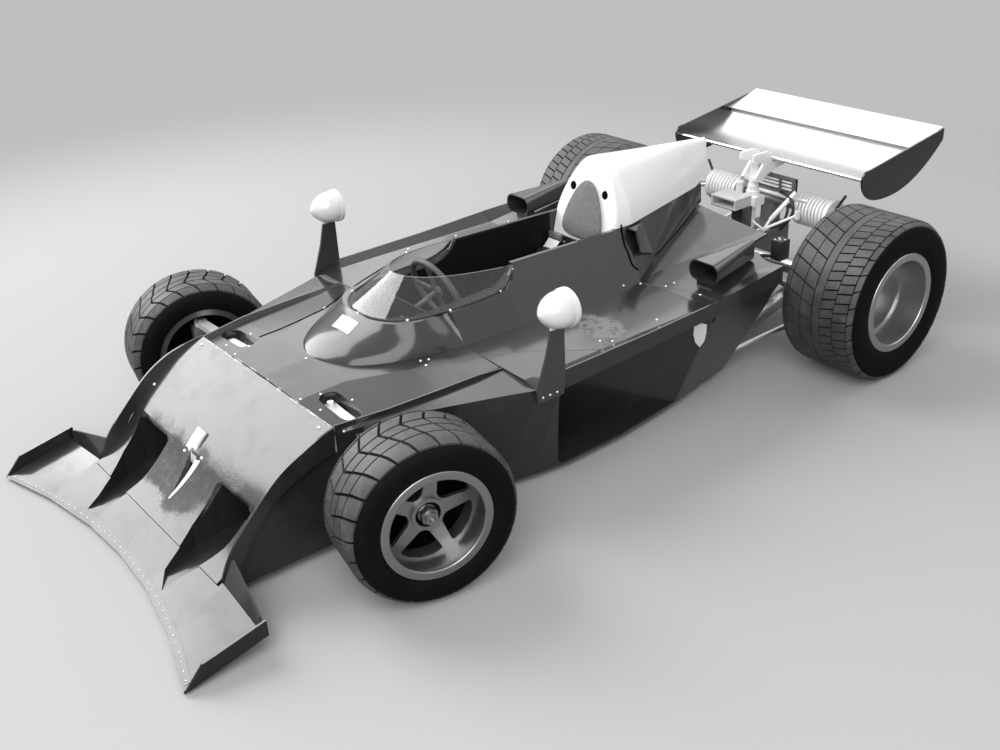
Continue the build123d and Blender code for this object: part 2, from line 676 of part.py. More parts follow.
cooler = block(-14, 46, 650, 656, 140, 160) + block(10, 24, 652, 655, 104, 141)
for i in range(6):
    cooler -= block(-11, 43, 649, 651, 142.5 + 2.8 * i, 144 + 2.8 * i)
parts["oil_cooler"] = cooler
parts["box_scoop"] = (block(-15, 22, 575, 603, 134, 147) - block(-12.5, 19.5, 570, 596, 136, 145)
                      + block(8, 24, 586, 603, 96, 134.5) - parts["gearbox"])

for name, shape in parts.items():
    parts[name] = Pos(0, -middleY, 0) * shape

os.makedirs("parts", exist_ok=True)
for name, shape in parts.items():
    export_step(shape, f"parts/{name}.step")
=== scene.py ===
import math

import bmesh
import bpy
from mathutils import Matrix, Vector
from mathutils.bvhtree import BVHTree


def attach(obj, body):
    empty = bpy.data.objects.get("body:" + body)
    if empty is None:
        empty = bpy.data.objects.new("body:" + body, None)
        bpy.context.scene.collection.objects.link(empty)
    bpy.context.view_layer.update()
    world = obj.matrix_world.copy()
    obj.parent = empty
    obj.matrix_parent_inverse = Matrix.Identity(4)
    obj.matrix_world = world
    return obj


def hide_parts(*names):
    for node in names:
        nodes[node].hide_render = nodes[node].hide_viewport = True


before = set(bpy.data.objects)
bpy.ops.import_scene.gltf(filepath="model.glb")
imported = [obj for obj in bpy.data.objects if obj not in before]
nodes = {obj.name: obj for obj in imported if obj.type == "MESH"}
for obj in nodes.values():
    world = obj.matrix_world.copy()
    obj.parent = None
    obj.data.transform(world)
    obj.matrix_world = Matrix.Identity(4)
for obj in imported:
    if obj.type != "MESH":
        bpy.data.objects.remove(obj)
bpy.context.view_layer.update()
print("frame loaded,", len(nodes), "nodes")

mirror = Matrix.Scale(-1, 4, (1, 0, 0))
facing = Matrix.Rotation(math.radians(90), 4, "Z")  # what is spun about X faces the driver


# Places are given in the car's station millimetres, with y = 0 at the front axle.

def at(x, y, z):
    return Vector((x, y - 290, z)) / 1000


def moved(x, y, z):
    return Matrix.Translation(at(x, y, z))


def leaveEditing():
    if bpy.context.object and bpy.context.object.mode == "EDIT":
        bpy.ops.object.mode_set(mode="OBJECT")


def pickOut(*pieces):
    leaveEditing()
    bpy.ops.object.select_all(action="DESELECT")
    for piece in pieces:
        piece.select_set(True)
    bpy.context.view_layer.objects.active = pieces[0]


def edit(piece, kind="FACE", wanted=None):
    # edit mode with everything picked, or only the faces, edges or points that are wanted
    pickOut(piece)
    bpy.ops.object.mode_set(mode="EDIT")
    bpy.ops.mesh.select_mode(type=kind)
    bpy.ops.mesh.select_all(action="SELECT" if wanted is None else "DESELECT")
    if wanted:
        mesh = bmesh.from_edit_mesh(piece.data)
        for element in {"FACE": mesh.faces, "EDGE": mesh.edges, "VERT": mesh.verts}[kind]:
            if wanted(element):
                element.select_set(True)
        mesh.select_flush_mode()
        bmesh.update_edit_mesh(piece.data)


def named(name):
    piece = bpy.context.object
    piece.name = name
    return piece


def applied(piece):
    pickOut(piece)
    bpy.ops.object.transform_apply(location=True, rotation=True, scale=True)
    return piece


def modify(piece, kind, **settings):
    pickOut(piece)
    modifier = piece.modifiers.new(kind.title(), kind)
    for name, value in settings.items():
        setattr(modifier, name, value)
    bpy.ops.object.modifier_apply(modifier=modifier.name)
    return piece


def bevelled(piece, width, segments=2, angle=35):
    return modify(piece, "BEVEL", width=width / 1000, segments=segments, limit_method="ANGLE",
                  angle_limit=math.radians(angle))


def outwards(piece):
    edit(piece)
    bpy.ops.mesh.remove_doubles(threshold=0.00002)
    bpy.ops.mesh.normals_make_consistent(inside=False)
    leaveEditing()
    return piece


def box(name, low, high, soften=0):
    low, high = at(*low), at(*high)
    bpy.ops.mesh.primitive_cube_add(size=1, location=(low + high) / 2, scale=high - low)
    piece = applied(named(name))
    return bevelled(piece, soften) if soften else piece


def bar(name, start, end, radius, sides=20, soften=0):
    start, end = at(*start), at(*end)
    along = end - start
    bpy.ops.mesh.primitive_cone_add(vertices=sides, radius1=radius / 1000, radius2=radius / 1000,
                                    depth=along.length)
    piece = named(name)
    turn = along.to_track_quat("Z", "Y").to_matrix().to_4x4()
    piece.data.transform(Matrix.Translation((start + end) / 2) @ turn)
    return bevelled(piece, soften) if soften else piece


def plate(name, points, push, soften=0):
    # a ring of as many points, put on the outline and pushed out into a plate
    bpy.ops.mesh.primitive_circle_add(vertices=len(points), radius=0.01, fill_type="NGON")
    piece = named(name)
    for vertex, point in zip(piece.data.vertices, points):
        vertex.co = point
    edit(piece)
    bpy.ops.mesh.extrude_region_move(TRANSFORM_OT_translate={"value": push})
    leaveEditing()
    outwards(piece)
    return bevelled(piece, soften) if soften else piece


def turned(name, outline, steps=64):
    # a closed outline of (along, radius) in mm, spun about the X axis
    bpy.ops.mesh.primitive_circle_add(vertices=len(outline), radius=0.01)
    piece = named(name)
    for vertex, (along, radius) in zip(piece.data.vertices, outline):
        vertex.co = Vector((along, 0, radius)) / 1000
    edit(piece, "VERT")
    bpy.ops.mesh.spin(steps=steps, angle=math.tau, center=(0, 0, 0), axis=(1, 0, 0))
    return outwards(piece)


def pipe(name, points, radius):
    # a formed pipe or a bead on one smooth line
    curve = bpy.data.curves.new(name, "CURVE")
    curve.dimensions = "3D"
    curve.bevel_depth = radius / 1000
    curve.bevel_resolution = 3
    curve.resolution_u = 6
    curve.use_fill_caps = True
    spline = curve.splines.new("NURBS")
    spline.points.add(len(points) - 1)
    for point, place in zip(spline.points, points):
        point.co = (*at(*place), 1)
    spline.order_u = 3
    spline.use_endpoint_u = True
    piece = bpy.data.objects.new(name, curve)
    bpy.context.collection.objects.link(piece)
    pickOut(piece)
    bpy.ops.object.convert(target="MESH")
    return outwards(bpy.context.object)


def joined(name, pieces):
    pickOut(*pieces)
    if len(pieces) > 1:
        bpy.ops.object.join()
    piece = named(name)
    return piece


def twin(piece, matrix, name):
    # a copy with its own mesh, put elsewhere
    copy = piece.copy()
    copy.data = piece.data.copy()
    copy.name = name
    bpy.context.collection.objects.link(copy)
    copy.data.transform(matrix)
    if matrix.determinant() < 0:
        copy.data.flip_normals()
    return copy


def mirroredToo(piece):
    return joined(piece.name, [piece, twin(piece, mirror, "far")])


def finished(piece, slot, *finishes, body="chassis", smooth=35):
    applied(piece)
    if smooth:
        bpy.ops.object.shade_smooth_by_angle(angle=math.radians(smooth))
    if finishes:
        piece.data.materials.clear()
        for finish in finishes:
            piece.data.materials.append(finish)
    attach(piece, body)
    return piece


skins = {}


def touch(origin, towards, *names):
    # where a line from a place first meets the named CAD nodes, and the normal there
    found = None
    for name in names:
        if name not in skins:
            mesh = nodes[name].data
            skins[name] = BVHTree.FromPolygons([vertex.co for vertex in mesh.vertices],
                                               [tuple(face.vertices) for face in mesh.polygons])
        place, normal, index, distance = skins[name].ray_cast(origin, towards)
        if place and (found is None or distance < found[2]):
            found = (place, normal if normal.dot(towards) < 0 else -normal, distance)
    if found is None:
        raise ValueError("nothing there: %s" % (origin,))
    return found[0], found[1]


def below(x, y, *names, z=260):
    return touch(at(x, y, z), Vector((0, 0, -1)), *names)


def beside(y, z, *names):
    return touch(at(240, y, z), Vector((-1, 0, 0)), *names)


def studs(name, spots, radius, height, sides=8):
    # small domed heads, one modelled and copied to each (place, normal)
    bpy.ops.mesh.primitive_uv_sphere_add(segments=sides, ring_count=6, radius=radius / 1000)
    head = bpy.context.object
    edit(head)
    bpy.ops.mesh.bisect(plane_co=(0, 0, -0.0001), plane_no=(0, 0, 1), use_fill=True, clear_inner=True)
    leaveEditing()
    head.data.transform(Matrix.Diagonal((1, 1, height / radius, 1)))
    made = []
    for place, normal in spots:
        turn = normal.to_track_quat("Z", "Y").to_matrix().to_4x4()
        made.append(twin(head, Matrix.Translation(place) @ turn, name))
    bpy.data.objects.remove(head)
    return joined(name, made)


# Shader maths: one output of a node, with arithmetic

class Wire:
    def __init__(self, finish, socket):
        self.finish = finish
        self.socket = socket

    def maths(self, operation, first, second):
        return self.finish.node("Math", {"operation": operation}, {0: first, 1: second})

    def __add__(self, other):
        return self.maths("ADD", self, other)

    def __sub__(self, other):
        return self.maths("SUBTRACT", self, other)

    def __rsub__(self, other):
        return self.maths("SUBTRACT", other, self)

    def __mul__(self, other):
        return self.maths("MULTIPLY", self, other)

    def __truediv__(self, other):
        return self.maths("DIVIDE", self, other)

    def __pow__(self, other):
        return self.maths("POWER", self, other)

    __radd__ = __add__
    __rmul__ = __mul__


class Finish:
    def __init__(self, name, world=None):
        # a new material, or the nodes of a world
        self.owner = world or bpy.data.materials.new(name)
        self.owner.use_nodes = True
        self.tree = self.owner.node_tree
        self.tree.nodes.clear()
        self.place = self.node("TexCoord", output="Generated" if world else "Object")

    def node(self, kind, settings=None, values=None, output=0):
        # a plain number for a colour is a neutral grey
        made = self.tree.nodes.new("ShaderNode" + kind)
        for name, value in (settings or {}).items():
            setattr(made, name, value)
        for name, value in (values or {}).items():
            socket = made.inputs[name]
            if isinstance(value, Wire):
                self.tree.links.new(value.socket, socket)
            else:
                socket.default_value = (value, value, value, 1) if socket.type == "RGBA" else value
        return Wire(self, made.outputs[output]) if made.outputs else None

    def blend(self, factor, first, second):
        return self.node("MixShader", {}, {0: factor, 1: first, 2: second})

    def greater(self, first, second):
        return self.node("Math", {"operation": "MAXIMUM"}, {0: first, 1: second})

    def size(self, value):
        return self.node("Math", {"operation": "ABSOLUTE"}, {0: value})

    def ray(self, kind):
        return self.node("LightPath", output="Is %s Ray" % kind)

    def axis(self, letter):
        return self.node("SeparateXYZ", {}, {0: self.place}, letter)

    def noise(self, scale, detail=3, rough=0.5, stretch=None):
        where = self.place
        if stretch:
            where = self.node("Mapping", {}, {"Vector": where, "Scale": stretch})
        values = {"Vector": where, "Scale": scale, "Detail": detail, "Roughness": rough}
        return self.node("TexNoise", {}, values)

    def step(self, value, low, high, first=0, last=1):
        # eases from first to last as the value goes from low to high
        return self.node("MapRange", {"interpolation_type": "SMOOTHSTEP"},
                         {"Value": value, "From Min": low, "From Max": high, "To Min": first, "To Max": last})

    def over(self, value, limit, ease):
        return self.step(value, limit, limit + ease)

    def under(self, value, limit, ease):
        return self.step(value, limit, limit + ease, 1, 0)

    def near(self, value, middle, reach):
        # 1 at the middle, 0 beyond the reach
        return self.step(self.size(value - middle), reach * 0.4, reach, 1, 0)

    def mixed(self, factor, first, second):
        return self.node("Mix", {"data_type": "RGBA"}, {0: factor, 6: first, 7: second}, 2)

    def bump(self, height, distance, strength=1, over=None):
        values = {"Height": height, "Distance": distance / 1000, "Strength": strength}
        if over:
            values["Normal"] = over
        return self.node("Bump", {}, values)

    def surface(self, values):
        return self.show(self.node("BsdfPrincipled", {}, values))

    def show(self, shader):
        self.node("Output" + self.owner.bl_rna.name, {}, {"Surface": shader})
        return self.owner


# Paint: a glossy coat over a neutral grey, with dust, chips along the nose's joint and soft waves in the sheet

paintLook = dict(level=0.02, dusty=0.055, coatRoughness=0.13, seam=-0.318)


def bodyPaint(name, worn=None, level=paintLook["level"], dusty=paintLook["dusty"]):
    finish = Finish(name)
    cloud = finish.noise(9, 4)
    speck = finish.step(finish.noise(700, 2), 0.64, 0.74)
    dust = finish.step(finish.noise(40, 5, 0.65), 0.45, 0.75) * 0.35 + speck * 0.2
    colour = finish.mixed(dust, level, dusty)
    colour = finish.mixed(cloud * 0.35, colour, level * 0.8)
    # chipped edges either side of the joint between nose and deck
    y = finish.axis("Y") + (finish.noise(70, 3) - 0.5) * 0.004
    chips = finish.near(y, paintLook["seam"], 0.0015) * finish.step(finish.noise(90, 5, 0.7), 0.47, 0.62)
    colour = finish.mixed(chips * 0.7, colour, 0.5)
    roughness = 0.3 + cloud * 0.12
    coat = 1 - dust * 0.6
    waves = finish.bump(finish.noise(14, 2), 0.9, 0.55)
    if worn:
        colour, roughness, coat = worn(finish, colour, roughness, coat)
    peel = finish.bump(finish.noise(420, 2) * coat, 0.05, 0.35, waves)
    return finish.surface({"Base Color": colour, "Roughness": roughness, "Coat Weight": coat, "Normal": peel,
                           "Coat Roughness": paintLook["coatRoughness"], "Specular IOR Level": 0.1})


noseLook = dict(high=-0.371, low=-0.411, halfWidth=0.118, roundness=5.4, skin=0.069, dull=0.06, patch=0.095,
                specks=0.34)


def wornNose(finish, colour, roughness, coat):
    # the clear coat has worn off behind the ducts and round the inlet
    look = noseLook
    x, y, z = finish.axis("X"), finish.axis("Y"), finish.axis("Z")
    edge = finish.noise(26, 5, 0.62) * 0.05
    # the patch's front border is round, and it stays on the top skin, out of the ducts
    rounding = (x + 0.008) * (x + 0.008) * look["roundness"]
    area = finish.over(y + edge - rounding, look["low"], 0.012)
    area = area * finish.over(z - (y + 0.384) * 1.02, look["skin"], 0.004)
    area = area * finish.under(y + edge, look["high"], 0.016)
    area = area * finish.under(finish.size(x) + edge, look["halfWidth"], 0.012)
    bare = finish.mixed(finish.noise(60, 5, 0.6), look["dull"], look["patch"])
    specks = finish.step(finish.noise(800, 3, 0.7), 0.57, 0.66) * finish.step(finish.noise(120, 3), 0.4, 0.7)
    bare = finish.mixed(specks, bare, look["specks"])
    # paler flakes follow the patch's ragged edge
    rim = area * (1 - area) * 2.6 * finish.step(finish.noise(900, 5, 0.75), 0.46, 0.6)
    colour = finish.mixed(rim, finish.mixed(area, colour, bare), look["specks"])
    return colour, roughness + area * 0.25, coat * (1 - area * 0.92)


scuffLook = dict(middle=(0.132, -0.033), reach=(0.034, 0.022), height=0.11, tone=0.19)


def scuffedDeck(finish, colour, roughness, coat):
    # a ragged worn place on the deck by the near mirror
    (x, y), (wide, long) = scuffLook["middle"], scuffLook["reach"]
    away = ((finish.axis("X") - x) / wide) ** 2 + ((finish.axis("Y") - y) / long) ** 2
    place = finish.under(away + (finish.noise(60, 5, 0.65) - 0.5) * 2.4, 0.55, 0.3)
    place = place * finish.step(finish.noise(170, 5, 0.7), 0.4, 0.5)
    place = place * finish.over(finish.axis("Z"), scuffLook["height"], 0.003)
    colour = finish.mixed(place, colour, scuffLook["tone"])
    return colour, roughness + place * 0.2, coat * (1 - place * 0.8)


# the cockpit's opening, and the oval of the screen's foot round its front end, which bound the painted shade
openingLook = dict(halfWidth=0.0464, front=-0.16, rear=0.0585, top=0.172, footMiddle=-0.13, footWide=0.0575,
                   footLong=0.0825, squareness=2.5, footRear=-0.076, footTop=0.168)


def cockpitPaintedShade(finish, colour, roughness, coat):
    # painted shade: the cockpit's walls behind the wheel are painted dull near black as the shade inside the
    # opening, and the ledge inside the screen's foot is painted dull and dark as the shade under the screen
    look = openingLook
    away, y, z = finish.size(finish.axis("X")), finish.axis("Y"), finish.axis("Z")
    shadedWalls = finish.under(away, look["halfWidth"], 0.0008) * finish.over(y, look["front"], 0.02)
    shadedWalls = shadedWalls * finish.under(y, look["rear"], 0.001) * finish.under(z, look["top"], 0.0015)
    ahead = finish.greater(look["footMiddle"] - y, 0)
    foot = (away / look["footWide"]) ** look["squareness"] + (ahead / look["footLong"]) ** look["squareness"]
    shadedLedge = finish.under(foot, 0.93, 0.06) * finish.under(y, look["footRear"], 0.004)
    shadedLedge = shadedLedge * finish.under(z, look["footTop"], 0.003)
    inside = finish.greater(shadedWalls, shadedLedge)
    # painted shade tones: near black on the walls, a little lighter on the ledge
    colour = finish.mixed(inside, colour, finish.mixed(shadedWalls, 0.016, 0.005))
    return colour, roughness + inside * 0.3, coat * (1 - inside * 0.96)


paint = bodyPaint("body paint")
deckPaint = bodyPaint("deck paint", scuffedDeck)
cockpitShadePaint = bodyPaint("cockpit paint", cockpitPaintedShade)
nosePaint = bodyPaint("nose paint", wornNose)
# the endplates take the body paint made darker, as painted shade on their upright faces
endplateShadePaint = bodyPaint("endplate paint", None, 0.008, 0.02)
wingPaint = bodyPaint("wing edge paint", None, 0.03, 0.06)


def whitePaint(name, level=0.8, dark=None, split=None):
    finish = Finish(name)
    grime = finish.step(finish.noise(22, 5, 0.6), 0.5, 0.8) * 0.25
    colour = finish.mixed(grime, level, level * 0.72)
    if split:  # another tone below this height
        high = finish.over(finish.axis("Z"), split, 0.0004)
        colour = finish.mixed(high, dark, colour)
    return finish.surface({"Base Color": colour, "Roughness": 0.32 + grime * 0.4, "Coat Weight": 0.6,
                           "Coat Roughness": 0.1, "Normal": finish.bump(finish.noise(300, 2), 0.04, 0.3)})


white = whitePaint("white paint", 0.87)
scoopPaint = whitePaint("scoop paint", 0.5, 0.012, 0.1345)
mirrorPaint = whitePaint("mirror paint", 0.74, 0.03, 0.1722)


def metal(name, level, roughness, grain=260, stretch=None, spread=0.12, height=0.03, metallic=1.0, spots=0.0):
    finish = Finish(name)
    streak = finish.noise(grain, 4, 0.6, stretch)
    tone = finish.noise(18, 3)
    colour = finish.mixed(streak * 0.5, level, level * 0.72)
    colour = finish.mixed(finish.step(tone, 0.35, 0.75) * 0.3, colour, level * 0.8)
    if spots:
        marks = finish.step(finish.noise(95, 5, 0.7), 0.6, 0.7) * spots
        colour = finish.mixed(marks, colour, level * 0.4)
    return finish.surface({"Base Color": colour, "Metallic": metallic, "Normal": finish.bump(streak, height, 0.5),
                           "Roughness": roughness - spread / 2 + streak * spread})


polished = metal("polished sheet", 0.86, 0.24, 70, (0.06, 1, 1), 0.16, 0.02)
flapMetal = metal("flap sheet", 0.93, 0.34, 70, (0.06, 1, 1), 0.1, 0.02, 0.55)
cast = metal("cast alloy", 0.42, 0.46, 900, None, 0.2, 0.12, 0.75, 0.25)
rimMetal = metal("turned alloy", 0.5, 0.34, 300, None, 0.14, 0.04, 0.95)
frontRimMetal = metal("dull alloy", 0.34, 0.33, 900, None, 0.24, 0.05, 0.9)
steel = metal("bare steel", 0.66, 0.32, 500, None, 0.16, 0.03, 0.9, 0.2)
springMetal = metal("plated wire", 0.95, 0.42, 300, None, 0.1, 0.02, 0.12)
darkMetal = metal("engine castings", 0.2, 0.5, 420, None, 0.2, 0.15, 0.6, 0.5)
screwMetal = metal("screw heads", 0.92, 0.3, 400, None, 0.1, 0.01, 0.6)


def plastic(name, level, roughness, grain=500, shine=0.5):
    finish = Finish(name)
    dust = finish.step(finish.noise(60, 5, 0.6), 0.5, 0.8) * 0.3
    pores = finish.noise(grain, 3)
    return finish.surface({"Base Color": finish.mixed(dust, level, level * 2 + 0.04 * shine),
                           "Roughness": roughness + pores * 0.15, "Normal": finish.bump(pores, 0.06, 0.5),
                           "Specular IOR Level": shine})


black = plastic("black plastic", 0.022, 0.38)
trimRubber = plastic("screen rubber", 0.015, 0.5)
# near black used as painted shade in the rim drums and the airbox holes, and for the real dark panel gaps
shadeAndGapBlack = plastic("inside black", 0.002, 0.8, 500, 0.03)


def rubber(name, level, dusty, roughness, dustiness, shine=0.5):
    finish = Finish(name)
    dust = finish.step(finish.noise(55, 5, 0.7), 0.4, 0.8) * dustiness
    grit = finish.step(finish.noise(900, 2), 0.6, 0.7) * dustiness
    fine = finish.noise(1200, 2)
    return finish.surface({"Base Color": finish.mixed(dust + grit * 0.5, level, dusty),
                           "Roughness": roughness + dust * 0.15, "Normal": finish.bump(fine, 0.05, 0.4),
                           "Specular IOR Level": shine})


treadRubber = rubber("tread rubber", 0.043, 0.115, 0.5, 0.8)
# the sidewalls are near black partly as real cleaner rubber than the dusty tread, and partly as painted shade
sidewallShadeRubber = rubber("sidewall rubber", 0.004, 0.009, 0.6, 0.5, 0.07)


def foam():
    finish = Finish("head pad cover")
    weave = finish.noise(1500, 2)
    soft = finish.step(finish.noise(380, 5, 0.75), 0.36, 0.64)
    return finish.surface({"Base Color": finish.mixed(soft, 0.135, 0.185), "Roughness": 0.75 + weave * 0.15,
                           "Normal": finish.bump(weave, 0.12, 0.5)})


def clearSheet():
    finish = Finish("clear screen")
    haze = finish.step(finish.noise(30, 4), 0.45, 0.8)
    sheet = finish.node("BsdfPrincipled", {}, {"Base Color": 0.86, "Roughness": haze * 0.02,
                                               "Transmission Weight": 1.0, "IOR": 1.47})
    # light passes straight through it, so that its shadow isn't solid
    passing = finish.node("BsdfTransparent", {}, {"Color": 0.85})
    return finish.show(finish.blend(finish.ray("Shadow"), sheet, passing))


padCover = foam()
glass = clearSheet()
crackPaint = plastic("crack in the paint", 0.12, 0.5)
gripCover = plastic("wheel rim cover", 0.06, 0.42)
screenEdge = plastic("screen edge", 0.25, 0.3)
webbing = plastic("white webbing", 0.92, 0.6, 1400)
mirrorGlass = metal("mirror glass", 0.9, 0.09, 60, None, 0.04, 0.004)

looks = {
    nosePaint: ["nose_panel"],
    paint: ["front_wing", "engine_cover", "oval_scoops", "side_body_right", "rear_deck_left",
            "rear_deck_right"],
    deckPaint: ["side_body_left"],
    cockpitShadePaint: ["monocoque", "cockpit_surround", "dash"],
    endplateShadePaint: ["front_endplates", "rear_endplates"],
    white: ["airbox"],
    mirrorPaint: ["mirrors"],
    polished: ["rear_wing"],
    flapMetal: ["rear_flap"],
    cast: ["rear_uprights", "knuckle_left", "knuckle_right"],
    rimMetal: ["front_rim_left", "front_rim_right", "rear_rim_left", "rear_rim_right"],
    steel: ["steering_rack", "oil_cooler", "lower_arms", "rear_links", "exhausts", "half_shaft_left",
            "half_shaft_right"],
    springMetal: ["rear_springs", "upper_arms", "wing_post"],
    gripCover: ["steering_wheel"],
    scoopPaint: ["box_scoop"],
    black: ["seat"],
    treadRubber: ["front_tyre_left", "front_tyre_right", "rear_tyre_left", "rear_tyre_right"],
    glass: ["windscreen"],
    padCover: ["head_pad"],
    darkMetal: ["engine", "gearbox"],
}
for finish, names in looks.items():
    for name in names:
        for slot in nodes[name].material_slots:
            slot.material = finish
print("finishes ready")


# Camera, floor and light

cameraSetting = dict(place=(0.8578, -0.7163, 0.5848), down=27.05, turn=52.19, roll=-2.25, lens=41.73)


def addCamera():
    turn = (Matrix.Rotation(math.radians(cameraSetting["turn"]), 4, "Z")
            @ Matrix.Rotation(math.radians(90 - cameraSetting["down"]), 4, "X")
            @ Matrix.Rotation(math.radians(cameraSetting["roll"]), 4, "Z"))
    bpy.ops.object.camera_add(location=cameraSetting["place"])
    camera = bpy.context.object
    camera.rotation_euler = turn.to_euler()
    camera.data.sensor_fit = "HORIZONTAL"
    camera.data.sensor_width = 36
    camera.data.lens = cameraSetting["lens"]
    camera.data.clip_start = 0.01
    bpy.context.scene.camera = camera


stageSetting = dict(floor=0.3, shown=0.43, far=0.52, fade=(0.75, 1.5), sky=0.36, rise=(0.1, 0.4),
                    reflected=(0.3, 1.05))
lamps = [
    # name, place, aimed at, width, height, watts
    ("right front", (-1.777, -0.847, 1.6), (0, -0.2, 0.12), 1.5, 2.6, 74),
    ("right side", (-1.83, 0.68, 1.16), (0, -0.25, 0.12), 0.85, 0.8, 3.6),
    ("rear right", (-1.29, 1.59, 1.54), (0, 0.43, 0.19), 1.3, 1.0, 5),
    ("camera side", (1.28, -1.28, 1.52), (0, 0, 0.1), 1.9, 1.9, 46),
    ("rear left", (0.56, 1.53, 1.63), (0, 0, 0.1), 1.2, 1.2, 7),
]


def addFloor():
    bpy.ops.mesh.primitive_plane_add(size=14, location=(0, 0, 0))
    floor = named("floor")
    finish = Finish("floor")
    seen = finish.greater(finish.ray("Camera"), finish.ray("Transmission"))
    plain = finish.node("BsdfDiffuse", {}, {"Color": stageSetting["floor"]})
    bright = finish.node("BsdfDiffuse", {}, {"Color": stageSetting["shown"]})
    # past the car's shadow the floor keeps one even tone
    even = finish.node("Emission", {}, {"Color": stageSetting["far"]})
    away = finish.node("VectorMath", {"operation": "LENGTH"}, {0: finish.place}, "Value")
    bright = finish.blend(finish.step(away, *stageSetting["fade"]), bright, even)
    floor.data.materials.append(finish.show(finish.blend(seen, plain, bright)))


def background(finish, strength):
    return finish.node("Background", {}, {"Color": 1, "Strength": strength})


def addWorld():
    world = bpy.data.worlds.new("studio")
    bpy.context.scene.world = world
    finish = Finish("studio", world)
    # what the car reflects is darker near the horizon than above it
    (low, high), (dark, bright) = stageSetting["rise"], stageSetting["reflected"]
    rising = finish.node("MapRange", {}, {"Value": finish.axis("Z"), "From Min": low, "From Max": high,
                                          "To Min": dark, "To Max": bright})
    sky = background(finish, stageSetting["sky"])
    sky = finish.blend(finish.ray("Glossy"), sky, background(finish, rising))
    # behind the car there is one plain tone, that of the far floor
    direct = finish.greater(finish.ray("Camera"), finish.ray("Transmission"))
    finish.show(finish.blend(direct, sky, background(finish, stageSetting["far"])))


def addLamps():
    for name, place, aim, width, height, watts in lamps:
        bpy.ops.object.light_add(type="AREA", location=place)
        lamp = named(name)
        lamp.rotation_euler = (Vector(aim) - Vector(place)).to_track_quat("-Z", "Y").to_euler()
        lamp.data.shape = "RECTANGLE"
        lamp.data.size = width
        lamp.data.size_y = height
        lamp.data.energy = watts


addCamera()
addFloor()
addWorld()
addLamps()
bpy.context.scene.view_settings.view_transform = "Standard"
print("camera, floor and lamps set")


# Tyres: a spun carcass that carries separate tread blocks

tyreSteps = 112
steered = Matrix.Rotation(math.radians(-11.5), 4, "Z")  # the front wheels stand turned, as in the photograph
wheelPlaces = {
    "front_left": (moved(204.03, -3.2, 73.7) @ steered, "front_wheel_left"),
    "front_right": (moved(-204.03, 3.2, 73.7) @ steered @ mirror, "front_wheel_right"),
    "rear_left": (moved(200.65, 581.4, 87.2), "rear_wheel_left"),
    "rear_right": (moved(-200.65, 581.4, 87.2) @ mirror, "rear_wheel_right"),
}

# each row: inner and outer edge, blocks round the tyre, lean, groove between blocks, shift along the tread
frontTyre = dict(
    radius=73.7, depth=2.5, shoulder=24.7, fall=0.64,
    carcass=[(28.5, 45), (28.5, 48.6), (32.4, 49), (33.2, 50.4), (33.9, 52.2), (34.6, 55), (34.9, 58),
             (34.9, 60.6), (34.3, 63.4), (33.5, 65.8), (32.1, 67.7), (30, 68.6), (27.6, 69.7), (24.7, 71),
             (12, 71.3), (0, 71.4)],
    rows=[(-31.2, -23.6, 24, 0.5, 2.7, -10), (-21.9, -10.6, 24, 0.5, 2.7, -4.4),
          (-8.8, -0.3, 24, -0.47, 2.7, -3.4), (1.4, 11.9, 24, -0.44, 2.7, -8.8),
          (13.5, 29.4, 24, -0.34, 2.7, -14.6)])
rearTyre = dict(
    radius=87.2, depth=2.6, shoulder=37, fall=0.64,
    carcass=[(40.5, 49.5), (40.5, 54.2), (43.4, 54.6), (43.9, 56), (44.6, 57.4), (45.3, 59.4), (45.8, 62),
             (46, 64.9), (46, 70), (45.7, 75), (45, 79), (43.8, 81.4), (42, 82.6), (38, 84.4), (34, 84.6),
             (0, 84.7)],
    rows=[(-43, -35, 32, 0.36, 1.7, -12.2), (-33.9, -18.8, 32, 0.36, 1.7, -7.6),
          (-17.7, -4.1, 32, 0.36, 1.7, -1.6), (6.9, 21.9, 54, -0.26, 1.7, 0), (23, 38, 54, -0.25, 1.7, 0),
          (39.1, 43.4, 30, -0.7, 2.2, 0)],
    rib=(-3, 5.8))


def treadRow(tyre, low, high, count, lean, groove, shift):
    # one block, arrayed into a flat strip and bent round the wheel
    pitch = math.tau * tyre["radius"] / count
    middle = (low + high) / 2
    size = (pitch - groove, tyre["depth"], high - low)
    bpy.ops.mesh.primitive_cube_add(size=1, location=(0, size[1] / 2000, middle / 1000),
                                    scale=[side / 1000 for side in size])
    block = applied(bpy.context.object)
    edit(block, "EDGE", lambda edge: abs(edge.verts[0].co.x - edge.verts[1].co.x) > 0.0001)
    bpy.ops.mesh.subdivide(number_cuts=3 if pitch > 12 else 1)
    edit(block, "EDGE", lambda edge: abs(edge.verts[0].co.z - edge.verts[1].co.z) > 0.0001)
    bpy.ops.mesh.subdivide(number_cuts=1)
    leaveEditing()
    for vertex in block.data.vertices:
        across = vertex.co.z * 1000
        vertex.co.x += (shift + lean * (across - middle)) / 1000
        vertex.co.y += tyre["fall"] * max(0, abs(across) - tyre["shoulder"]) / 1000
        if vertex.co.y * 1000 > tyre["depth"] * 0.7:  # the block's foot is a little wider
            vertex.co.x += math.copysign(0.00025, vertex.co.x - shift / 1000 - lean * (across - middle) / 1000)
    modify(block, "ARRAY", count=count, use_relative_offset=False, use_constant_offset=True,
           constant_offset_displace=(pitch / 1000, 0, 0))
    spread = [vertex.co.x for vertex in block.data.vertices]
    modify(block, "SIMPLE_DEFORM", deform_method="BEND", deform_axis="Z",
           angle=(max(spread) - min(spread)) * 1000 / tyre["radius"])
    # the bend's centre comes to the hub, with its axis along X
    block.data.transform(Matrix(((0, 0, 1, 0), (-1, 0, 0, 0), (0, -1, 0, tyre["radius"] / 1000), (0, 0, 0, 1))))
    return block


